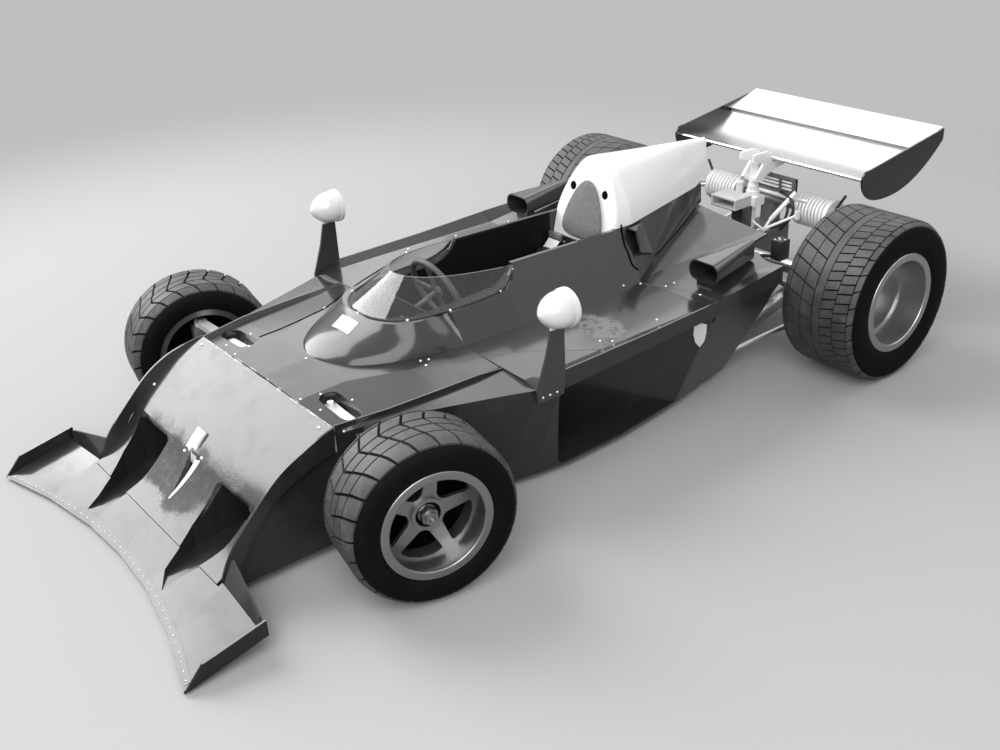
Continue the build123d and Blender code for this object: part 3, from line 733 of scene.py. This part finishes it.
def makeTyre(name, tyre):
    half = tyre["carcass"]
    carcass = turned(name, half + [(-along, radius) for along, radius in reversed(half[:-1])], tyreSteps)
    carcass.data.materials.append(sidewallShadeRubber)
    blocks = [treadRow(tyre, *row) for row in tyre["rows"]]
    if "rib" in tyre:
        low, high = tyre["rib"]
        foot, top = tyre["radius"] - tyre["depth"] - 0.5, tyre["radius"]
        blocks.append(turned("rib", [(low, foot), (low, top - 0.4), (low + 0.4, top), (high - 0.4, top),
                                     (high, top - 0.4), (high, foot)], tyreSteps))
    tread = joined("tread", blocks)
    tread.data.materials.clear()
    tread.data.materials.append(treadRubber)
    return joined(name, [carcass, tread])


def mountTyres(piece, axle):
    for side in ("left", "right"):
        matrix, body = wheelPlaces[axle + "_" + side]
        copy = twin(piece, matrix, axle + "_rain_tyre_" + side)
        finished(copy, "tyre_rubber", body=body, smooth=30)
        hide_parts(axle + "_tyre_" + side)
    bpy.data.objects.remove(piece)


# Front rims: a copy of each, turned as its spokes stand in the photograph, over a black drum

rimLook = dict(turn=-26.3, drum=[(-7.8, 14.5), (-5.5, 14.5), (-5.5, 42.3), (-7.8, 42.3)],
               recess=[(9.8, 7.9), (10.4, 7.9), (10.4, 10.9), (9.8, 10.9)])


def copyOf(node, name):
    # a node's mesh, merged, as an object of its own
    piece = bpy.data.objects.new(name, nodes[node].data.copy())
    bpy.context.collection.objects.link(piece)
    outwards(piece)
    bpy.ops.mesh.customdata_custom_splitnormals_clear()
    return modify(piece, "TRIANGULATE")


def turnFrontRims():
    # the black drum behind the spokes and the black ring in the nut's recess are painted shade, where the wheel's
    # inside and the recess fall dark
    drum = joined("drum", [turned("drum", rimLook["drum"]), turned("recess", rimLook["recess"], 40)])
    for side in ("left", "right"):
        matrix, body = wheelPlaces["front_" + side]
        rim = copyOf("front_rim_" + side, "front_spoked_rim_" + side)
        rim.data.transform(matrix @ Matrix.Rotation(math.radians(rimLook["turn"]), 4, "X") @ matrix.inverted())
        finished(rim, "cast_alloy", frontRimMetal, body=body)
        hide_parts("front_rim_" + side)
        finished(twin(drum, matrix, "front_rim_drum_" + side), "cast_alloy", shadeAndGapBlack, body=body)
    bpy.data.objects.remove(drum)


turnFrontRims()
mountTyres(makeTyre("front tyre", frontTyre), "front")
mountTyres(makeTyre("rear tyre", rearTyre), "rear")
print("tyres made")


# Small things laid on the car's own surfaces

def back(place):
    return place.x * 1000, place.y * 1000 + 290, place.z * 1000


def raised(spot, lift):
    return spot[0] + spot[1] * lift / 1000, spot[1]


def draped(name, columns, rows, spot, thick):
    # a sheet whose points lie on the car: spot(u, v) gives (place, normal) for u and v from 0 to 1
    bpy.ops.mesh.primitive_grid_add(x_subdivisions=columns, y_subdivisions=rows, size=1)
    piece = named(name)
    for vertex in piece.data.vertices:
        place, normal = spot(vertex.co.x + 0.5, vertex.co.y + 0.5)
        vertex.co = place + normal * thick / 2400
    modify(piece, "SOLIDIFY", thickness=thick / 1000, offset=0)
    return outwards(piece)


def between(corners, u, v):
    # the (x, y) place inside four corners
    (x0, y0), (x1, y1), (x2, y2), (x3, y3) = corners
    return ((x0 * (1 - u) + x1 * u) * (1 - v) + (x3 * (1 - u) + x2 * u) * v,
            (y0 * (1 - u) + y1 * u) * (1 - v) + (y3 * (1 - u) + y2 * u) * v)


def topPlate(name, corners, thick, *names, columns=4):
    return draped(name, columns, 3, lambda u, v: below(*between(corners, u, v), *names), thick)


def scored(name, spots, radius, *names, lift=0):
    # a bead or a gap that follows the car's top through (x, y) spots
    places = []
    for (x0, y0), (x1, y1) in zip(spots, spots[1:]):
        count = max(1, round(math.hypot(x1 - x0, y1 - y0) / 6))
        for step in range(count + 1):
            part = step / count
            place, normal = below(x0 + (x1 - x0) * part, y0 + (y1 - y0) * part, *names)
            places.append(back(place + normal * lift / 1000))
    return pipe(name, places, radius)


def screws(name, spots, radius, height, sides=8):
    return finished(studs(name, spots, radius, height, sides), "bare_steel", screwMetal)


# Front wing: doubled front edge with its rivets

wingEdge = dict(lead=-216.5, sweep=33, half=197, reach=193, margin=4, start=1.5, wide=5.5, thick=0.3, rivets=36,
                inset=3.6, head=(0.75, 0.7))


def wingSpot(x, inset):
    lead = wingEdge["lead"] + wingEdge["sweep"] * (1 - (x / wingEdge["half"]) ** 2)
    return below(x, lead + inset, "front_wing", z=60)


def makeWingEdge():
    reach, start, wide = wingEdge["reach"], wingEdge["start"], wingEdge["wide"]
    strip = draped("wing_edge", 60, 2, lambda u, v: wingSpot((2 * u - 1) * reach, start + wide * v),
                   wingEdge["thick"])
    finished(strip, "body_paint", wingPaint)
    reach -= wingEdge["margin"]
    gap = 2 * reach / (wingEdge["rivets"] - 1)
    spots = [raised(wingSpot(gap * count - reach, wingEdge["inset"]), wingEdge["thick"])
             for count in range(wingEdge["rivets"])]
    screws("wing_rivets", spots, *wingEdge["head"])


# Nose: raised blank plate, white blade over the slit, and screws

nosePlate = dict(corners=[(-15, -101), (-1, -101), (-1, -87), (-15, -87)], thick=3,
                 blade=[(5, -104), (12.5, -102.5), (1.5, -132), (-0.5, -132)], bladeThick=0.8,
                 screws=[(-17, -104), (12, -101), (108, -35), (-108, -35), (118, -84), (-118, -84)],
                 head=(1.7, 1.3, 12))


def bladeSpot(u, v):
    # over the slit, at the height of the skin beside it
    x, y = between(nosePlate["blade"], u, v)
    place, normal = below(20, y, "nose_panel")
    return Vector((x / 1000, place.y, place.z)), normal


def makeNosePieces():
    card = topPlate("nose_plate", nosePlate["corners"], nosePlate["thick"], "nose_panel")
    finished(bevelled(card, 0.4), "white_paint", white)
    blade = draped("nose_blade", 2, 8, bladeSpot, nosePlate["bladeThick"])
    finished(bevelled(blade, 0.2), "white_paint", white)
    spots = [raised(below(x, y, "nose_panel"), 0.1) for x, y in nosePlate["screws"]]
    screws("nose_screws", spots, *nosePlate["head"])


# Deck: screws, cracks in the paint, panel gaps, blank side shields and the blank plate on the hump

deckParts = ("monocoque", "side_body_left", "side_body_right", "rear_deck_left", "rear_deck_right",
             "cockpit_surround")
deckLook = dict(
    screws=[(0, 17), (80, 97), (65, -7), (86, -20), (91, 8.5), (77, 90), (87, 89), (156, 236), (164, 244),
            (159, 307), (86, 358), (78, 342), (110, 370), (112, 380), (150, 377), (60, -24), (122, -20)],
    head=(1.25, 0.9), crack=0.22, gap=0.7, slitGap=0.6, edgeGap=1,
    cracks=[[(105, 135), (128, 175), (181, 238)], [(86, 358), (110, 370), (150, 377)]],
    gaps=[[(-76, 10), (-76, 32), (-79, 57), (-85, 88), (-100, 115), (-120, 154), (-138, 196)]],
    coverFoot=[(59, 406), (47, 441), (34, 478), (22, 508)],
    slit=(364, (112, 114, 116, 118)),
    coverEdge=[(369, 176), (363, 159), (365, 151), (363, 138), (369, 134)],
    card=[(-11, 53), (15, 54), (12, 68), (-15, 68)], cardThick=0.5)


shield = dict(
    rim=[(175, 340.2, 115.2), (178.3, 346.9, 118.6), (179.1, 356.5, 113.7), (175.1, 361, 100),
         (171.1, 362.8, 88.3), (167.1, 360.4, 79.8), (168.1, 350.9, 89.5), (171.2, 343.9, 102.5)],
    out=(0.9, -0.26, -0.35), thick=0.5, border=0.86)


def makeShields():
    # a blank shield on each side: a dark plate with a smaller pale one on it
    out = Vector(shield["out"]).normalized() * shield["thick"] / 1000
    rim = [at(*spot) for spot in shield["rim"]]
    middle = sum(rim, Vector()) / len(rim)
    start, normal = touch(middle + out * 40, -out.normalized(), "side_body_left")
    shift = start - middle
    low = plate("shield", [place + shift for place in rim], out)
    inner = [middle + (place - middle) * shield["border"] + shift + out for place in rim]
    face = plate("shield_face", inner, out * 0.5)
    finished(mirroredToo(low), "black_plastic", black)
    finished(mirroredToo(face), "white_paint", white)


def makeDeckPieces():
    spots = [raised(below(side * x, y, *deckParts), 0.1) for x, y in deckLook["screws"] for side in (1, -1)
             if x or side > 0]
    screws("deck_screws", spots, *deckLook["head"])
    cracks = [scored("crack", spots, deckLook["crack"], *deckParts) for spots in deckLook["cracks"]]
    finished(joined("deck_cracks", cracks), "body_paint", crackPaint)
    gaps = [scored("gap", spots, deckLook["gap"], *deckParts) for spots in deckLook["gaps"]]
    finished(joined("deck_gap", gaps), "black_plastic", shadeAndGapBlack)
    edge = [back(beside(y, z, "cockpit_surround", "engine_cover", "airbox")[0])
            for y, z in deckLook["coverEdge"]]
    y, heights = deckLook["slit"]
    slit = [back(beside(y, z, "side_body_left", "rear_deck_left")[0]) for z in heights]
    foot = scored("gap", deckLook["coverFoot"], deckLook["gap"], "engine_cover", "rear_deck_left", lift=-0.1)
    gaps = [pipe("gap", edge, deckLook["edgeGap"]), pipe("gap", slit, deckLook["slitGap"]), foot]
    finished(mirroredToo(joined("cover_gaps", gaps)), "black_plastic", shadeAndGapBlack)
    card = topPlate("hump_plate", deckLook["card"], deckLook["cardThick"], "cockpit_surround", columns=8)
    finished(card, "white_paint", white)


# Windscreen: rubber on its foot with round-headed screws, and a thin pale upper edge

screenTrim = dict(
    foot=[(0, 76.2, 151.3), (17.8, 78.5, 151.4), (34.4, 86.1, 151.6), (46.8, 100.8, 152), (53.3, 118.2, 152.6),
          (57.3, 143, 153.1), (59.1, 174.6, 154.4), (58.3, 197, 155.2), (56.6, 207, 158.5), (53, 215, 164),
          (49.2, 221.5, 172)],
    low=[(0, 74.3), (18, 76.6), (35, 84.2), (48, 98), (55, 115), (59.3, 140), (61.8, 172), (61, 205),
         (58, 236)],
    high=[(0, 117.5), (13, 121), (22, 128), (30, 140), (35, 153), (39.8, 171), (43, 190), (45.2, 212),
          (46, 236)],
    base=150, top=180.3, fall=15,  # the upper edge drops by one in fifteen
    rubber=1.35, bead=0.35, beadEnd=219, head=(1.35, 1, 12),
    screws=[(0, 76, 151.4), (45.9, 99.7, 152), (56.8, 139.9, 153), (58.1, 198, 155.5), (50.2, 219.5, 169.7)])


def screenTop():
    # where the ruled screen meets its cut-off line, which falls towards the rear
    rise, fall = screenTrim["top"] - screenTrim["base"], screenTrim["fall"]
    for (x0, y0), (x1, y1) in zip(screenTrim["low"], screenTrim["high"]):
        part = (rise - (y0 - 117) / fall) / (rise + (y1 - y0) / fall)
        yield x0 + (x1 - x0) * part, y0 + (y1 - y0) * part, screenTrim["base"] + rise * part


def wholeRim(points):
    # from the left end round the front to the right end
    return [(-x, y, z) for x, y, z in reversed(points[1:])] + points


def makeScreenPieces():
    foot = pipe("screen_rubber", wholeRim(screenTrim["foot"]), screenTrim["rubber"])
    finished(foot, "black_plastic", trimRubber)
    top = [place for place in screenTop() if place[1] < screenTrim["beadEnd"]]
    finished(pipe("screen_edge", wholeRim(top), screenTrim["bead"]), "clear_screen", screenEdge)
    spots = []
    for x, y, z in screenTrim["screws"]:
        for side in (1, -1) if x else (1,):
            normal = Vector((side * x / 60, (y - 140) / 66, 0.75)).normalized()
            spots.append(raised((at(side * x, y, z), normal), 0.9))
    screws("screen_screws", spots, *screenTrim["head"])


makeWingEdge()
makeNosePieces()
makeDeckPieces()
makeShields()
makeScreenPieces()
print("wing edge, nose, deck and screen fittings made")


# Head pad: the outline's slab is blown up a little as cloth, with its back held flat

pad = dict(lean=(0, -103, 23.6), foot=(0, 353.9, 152), thick=3.2, swell=3.6, cell=1.5, held=0.45, pressure=4,
           frames=20, half=[(0, 63.6), (8.6, 61.2), (18.8, 48.4), (27.2, 29.6), (30.6, 13.2), (27.9, 4),
                            (15.8, 0.3), (0, 0)])
tenfold = 100  # millimetres over this are metres at ten times the size


def makePad():
    half = pad["half"]
    outline = half + [(-x, y) for x, y in reversed(half[1:-1])]
    rounded = []
    for (x0, y0), (x1, y1) in zip(outline, outline[1:] + outline[:1]):
        # each corner is cut off between the quarter points of its two sides
        rounded += [(x0 * near + x1 * (1 - near), y0 * near + y1 * (1 - near)) for near in (0.75, 0.25)]
    # made ten times as large, because cloth behaves better there
    piece = plate("pad", [Vector((x, y, 0)) / tenfold for x, y in rounded], (0, 0, pad["thick"] / tenfold), 12)
    modify(piece, "REMESH", mode="VOXEL", voxel_size=pad["cell"] / tenfold)
    depth = pad["thick"] * pad["held"] / tenfold
    held = piece.vertex_groups.new(name="held")
    held.add([vertex.index for vertex in piece.data.vertices if vertex.co.z < depth], 1, "REPLACE")
    before = [vertex.co.copy() for vertex in piece.data.vertices]
    pickOut(piece)
    cloth = piece.modifiers.new("Cloth", "CLOTH")
    cloth.settings.use_pressure = True
    cloth.settings.uniform_pressure_force = pad["pressure"]
    cloth.settings.effector_weights.gravity = 0
    cloth.settings.vertex_group_mass = "held"
    for count in range(pad["frames"]):
        bpy.context.scene.frame_set(count + 1)
    bpy.ops.object.modifier_apply(modifier=cloth.name)
    bpy.context.scene.frame_set(1)
    for vertex, start in zip(piece.data.vertices, before):
        travel = vertex.co - start
        most = pad["swell"] / tenfold
        vertex.co = start + travel * min(1, most / max(travel.length, 0.0001))
    modify(piece, "SMOOTH", factor=0.5, iterations=4)
    modify(piece, "SUBSURF", levels=1, render_levels=1)
    up = Vector(pad["lean"]).normalized()
    across = Vector((1, 0, 0))
    rise = up.cross(across)
    turn = Matrix((across, rise, up)).transposed().to_4x4()
    piece.data.transform(moved(*pad["foot"]) @ turn @ Matrix.Scale(0.1, 4))
    piece.name = "padded_headrest"
    outwards(piece)
    finished(piece, "grey_foam", padCover, smooth=60)
    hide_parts("head_pad")


# Airbox: each of its two holes is stopped near its face by a black plug, painted shade for the hole's depth

airHoleShade = dict(x=24, deep=(368.5, 202.45), face=(366.7, 202.86), radius=4.4)


def makeAirHoleShade():
    look = airHoleShade
    shadePlug = bar("airbox_hole", (look["x"], *look["deep"]), (look["x"], *look["face"]), look["radius"], sides=28)
    finished(mirroredToo(shadePlug), "black_plastic", shadeAndGapBlack)


# Cockpit: bulkhead screws, shoulder straps with their buckles, and dial faces

cockpit = dict(
    screws=[(22, 350.4, 144), (42, 350.4, 146), (42, 350.4, 130), (22, 350.4, 128)], head=(1.1, 0.8),
    buckle=[(19, 343.1, 146), (39, 345.7, 154)], slot=[(21.5, 342.6, 149), (36.5, 343.4, 151)],
    strap=[(29, 346.5, 150), (35, 331, 124), (36.5, 318, 104)], strapWide=17, strapThick=1.2, strapSag=2,
    dialX=20, dialZ=138, dial=[(131, 0.01), (131, 8.2), (131.9, 8.2), (131.9, 7.2), (131.3, 7), (131.3, 0.01)])


def makeStrap():
    rows = cockpit["strap"]
    bpy.ops.mesh.primitive_grid_add(x_subdivisions=2, y_subdivisions=8, size=1)
    strap = named("shoulder_strap")
    for vertex in strap.data.vertices:
        along = (vertex.co.y + 0.5) * 2
        first = min(int(along), 1)
        part = along - first
        x, y, z = (rows[first][k] * (1 - part) + rows[first + 1][k] * part for k in range(3))
        sag = cockpit["strapSag"] * math.sin(math.pi * along / 2)
        vertex.co = at(x + vertex.co.x * cockpit["strapWide"], y - sag, z)
    modify(strap, "SOLIDIFY", thickness=cockpit["strapThick"] / 1000, offset=0)
    outwards(strap)
    finished(mirroredToo(bevelled(strap, 0.25)), "white_paint", webbing)
    buckle = box("strap_buckle", *cockpit["buckle"], 0.6)
    slot = box("slot", *cockpit["slot"], 0.2)
    finished(mirroredToo(joined("strap_buckle", [buckle, slot])), "cast_alloy", cast)


def makeCockpit():
    makeStrap()
    spots = [(at(side * x, y, z), Vector((0, -1, 0))) for x, y, z in cockpit["screws"] for side in (1, -1)]
    screws("bulkhead_screws", spots, *cockpit["head"])
    dials = []
    for side in (-1, 1):
        dial = turned("dial", cockpit["dial"], 32)
        dial.data.transform(moved(side * cockpit["dialX"], 0, cockpit["dialZ"]) @ facing)
        dials.append(dial)
    finished(joined("dial_faces", dials), "bare_steel", screwMetal)


makePad()
makeAirHoleShade()
makeCockpit()
print("head pad and cockpit made")


# Mirrors: glass in each pod, and the three screws of each stalk's foot

mirrorLook = dict(place=(185, 169, 189), glass=[(0, 0.01), (0, 15.2), (0.8, 14.5), (1.1, 0.01)],
                  screws=[(141, 112.5), (149, 112.5), (157, 112.5)], head=(1.2, 0.8))


def makeMirrors():
    disc = turned("mirror_glass", mirrorLook["glass"], 48)
    disc.data.transform(moved(*mirrorLook["place"]) @ facing)
    finished(mirroredToo(disc), "polished_aluminium", mirrorGlass)
    spots = [raised(beside(y, z, "mirrors", "side_body_left"), 0.1) for y, z in mirrorLook["screws"]]
    finished(mirroredToo(studs("stalk_screws", spots, *mirrorLook["head"])), "bare_steel", screwMetal)


# Coil springs: one round wire wound over the damper

spring = dict(
    y=669, z=122, start=47, end=90.5, turns=9, radius=17.6, wire=1.75,
    damper=[(45, 0.01), (45, 9.5), (46.4, 9.5), (46.4, 7.6), (60, 7.6), (60, 6.4), (84, 6.4), (84, 8.4),
            (90.6, 8.4), (90.6, 9.5), (92, 9.5), (92, 0.01)],
    seats=(45.6, 89.6), seat=[(0, 8), (0, 19), (1.2, 19.4), (1.8, 19), (1.8, 8)])


def makeSprings():
    look = spring
    bpy.ops.mesh.primitive_circle_add(vertices=10, radius=look["wire"] / 1000)
    coil = bpy.context.object
    coil.data.transform(Matrix.Translation((0, look["radius"] / 1000, 0)) @ Matrix.Rotation(math.pi, 4, "X"))
    pitch = (look["end"] - look["start"]) / look["turns"] / 1000
    modify(coil, "SCREW", axis="X", steps=28, render_steps=28, iterations=look["turns"], screw_offset=pitch)
    coil.data.transform(moved(look["start"], look["y"], look["z"]))
    outwards(coil)
    fittings = [turned("damper", look["damper"], 32)]
    for start in look["seats"]:
        fittings.append(turned("seat", [(start + along, radius) for along, radius in look["seat"]], 40))
    for piece in fittings:
        piece.data.transform(moved(0, look["y"], look["z"]))
    whole = mirroredToo(joined("coil_springs", [coil] + fittings))
    finished(whole, "bare_steel", springMetal)
    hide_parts("rear_springs")


# Oil cooler: a dark frame with two groups of bright slats

cooler = dict(x=(-14, 46), y=(650, 656), z=(140, 160), top=3, foot=2.5, posts=(-14, 23, 42), post=4,
              groups=[(-8.5, 22), (27, 41)], slats=(145, 149.3, 153.6), slat=2.2)


def makeCooler():
    (x0, x1), (y0, y1), (z0, z1) = cooler["x"], cooler["y"], cooler["z"]
    bars = [box("bar", (x0, y0, z1 - cooler["top"]), (x1, y1, z1), 0.5),
            box("bar", (x0, y0, z0), (x1, y1, z0 + cooler["foot"]), 0.5),
            box("back", (x0, y0 + 3.5, z0 + 1), (x1, y1, z1 - 1))]
    for x in cooler["posts"]:
        bars.append(box("post", (x, y0 + 0.3, z0 + 0.5), (x + cooler["post"], y1, z1 - 0.5), 0.4))
    finished(joined("cooler_frame", bars), "cast_alloy", darkMetal)
    slats = [box("slat", (low, y0 + 0.6, z), (high, y0 + 3.8, z + cooler["slat"]), 0.5)
             for low, high in cooler["groups"] for z in cooler["slats"]]
    whole = joined("cooler_slats", slats)
    finished(whole, "bare_steel", springMetal)
    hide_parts("oil_cooler")


# Rods, formed pipes and small fittings over the gearbox

tail = dict(
    # each rod: from, to, radius and the rounding of its ends
    rods=[((48.8, 650, 146), (34.8, 624, 115.2), 2.7, 0.5), ((34.8, 624, 115.2), (33.5, 613, 104), 1.5, 0),
          ((35.4, 615, 107), (62, 640, 124), 1.6, 0), ((12, 616, 112), (34, 613, 106), 1.3, 0),
          ((61, 640, 119), (61, 640, 128.5), 3.4, 0), ((35.2, 610, 106.5), (35.2, 620, 106.5), 3, 0),
          ((-27, 640, 116), (-27, 640, 145), 4.4, 0), ((-27, 640, 142.6), (-27, 640, 145.6), 5.4, 0.4)],
    # each bent one: its radius and its line, and so the pipes
    bent=[(1.5, [(30, 600, 96), (32, 590, 104), (41, 585, 110), (47, 588, 115), (36, 603, 109),
                 (34, 612, 106)]),
          (1.6, [(-14, 651, 137.4), (20, 651, 137.2), (46, 651, 137.6), (63, 655, 137)])],
    pipes=[(1.9, [(24, 652, 141), (40, 646, 142), (53, 640, 137), (57, 638, 126), (50, 636, 112),
                  (38, 640, 100)]),
           (1.6, [(38, 650, 139), (44, 644, 132), (46, 640, 118), (40, 636, 104), (20, 640, 97)])],
    stay=[(104, 669, 150), (92, 669, 130)], case=[(97, 549, 104), (111, 565, 127)],
    caseRod=[(100, 557, 106), (24, 575, 82)],
    caps=[(100.5, 551.5, 127), (104.5, 555, 127), (108.5, 558.5, 127), (101, 558, 127)], head=(1.2, 1))


def makeTail():
    rods = [bar("rod", start, end, radius, soften=soften) for start, end, radius, soften in tail["rods"]]
    rods += [pipe("rod", line, radius) for radius, line in tail["bent"]]
    finished(joined("tail_rods", rods), "bare_steel", springMetal)
    pipes = [pipe("formed pipe", line, radius) for radius, line in tail["pipes"]]
    finished(joined("tail_pipes", pipes), "black_plastic", trimRubber)
    finished(mirroredToo(bar("spring_stays", *tail["stay"], 1.6)), "black_plastic", black)
    case = [box("cell", *tail["case"], 1), bar("rod", *tail["caseRod"], 2)]
    finished(mirroredToo(joined("tail_boxes", case)), "black_plastic", black)
    caps = [(at(*cap), Vector((0, 0, 1))) for cap in tail["caps"]]
    finished(mirroredToo(studs("tail_box_caps", caps, *tail["head"])), "white_paint", white)


makeMirrors()
makeSprings()
makeCooler()
makeTail()
print("mirrors, springs, cooler and tail fittings made")
